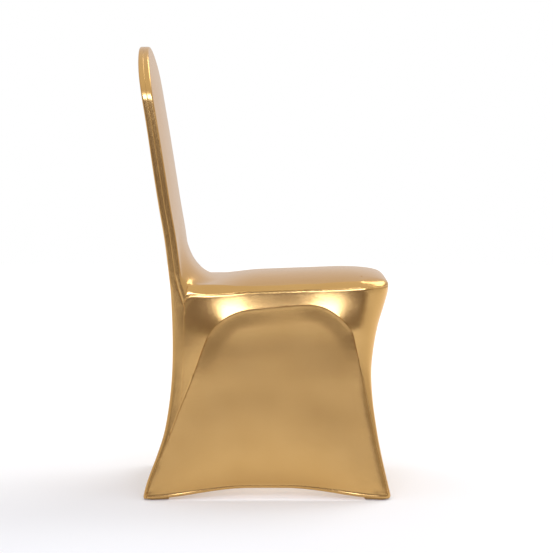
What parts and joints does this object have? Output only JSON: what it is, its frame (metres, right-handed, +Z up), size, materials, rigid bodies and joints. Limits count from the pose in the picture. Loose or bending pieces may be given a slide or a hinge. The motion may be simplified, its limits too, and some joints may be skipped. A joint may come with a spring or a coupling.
{
  "type": "stretch chair cover",
  "caption": "Fitted stretch cover for a banquet chair in gold foil knit, with a crowned back, arched side panels, foot pockets and a hem that lifts between the feet.",
  "frame": {"origin": "middle of the cover's footprint on the floor", "axes": "+Z up, -Y towards the front of the seat, +X towards the right side seen from behind the backrest"},
  "size_m": [0.4254, 0.5227, 0.937],
  "materials": {
    "gold_foil_knit": "elastic knit with a gold foil coating, satin to glossy metallic shine",
    "pocket_knit": "the same foil coated knit, doubled, with a folded edge"
  },
  "bodies": {
    "root": {"inner_back_and_seat": "gold_foil_knit", "outer_back": "gold_foil_knit", "skirt": "gold_foil_knit", "side_panel_left": "gold_foil_knit", "side_panel_right": "gold_foil_knit", "foot_pocket_front_left": "pocket_knit", "foot_pocket_front_right": "pocket_knit", "foot_pocket_rear_left": "pocket_knit", "foot_pocket_rear_right": "pocket_knit"}
  },
  "joints": []
}
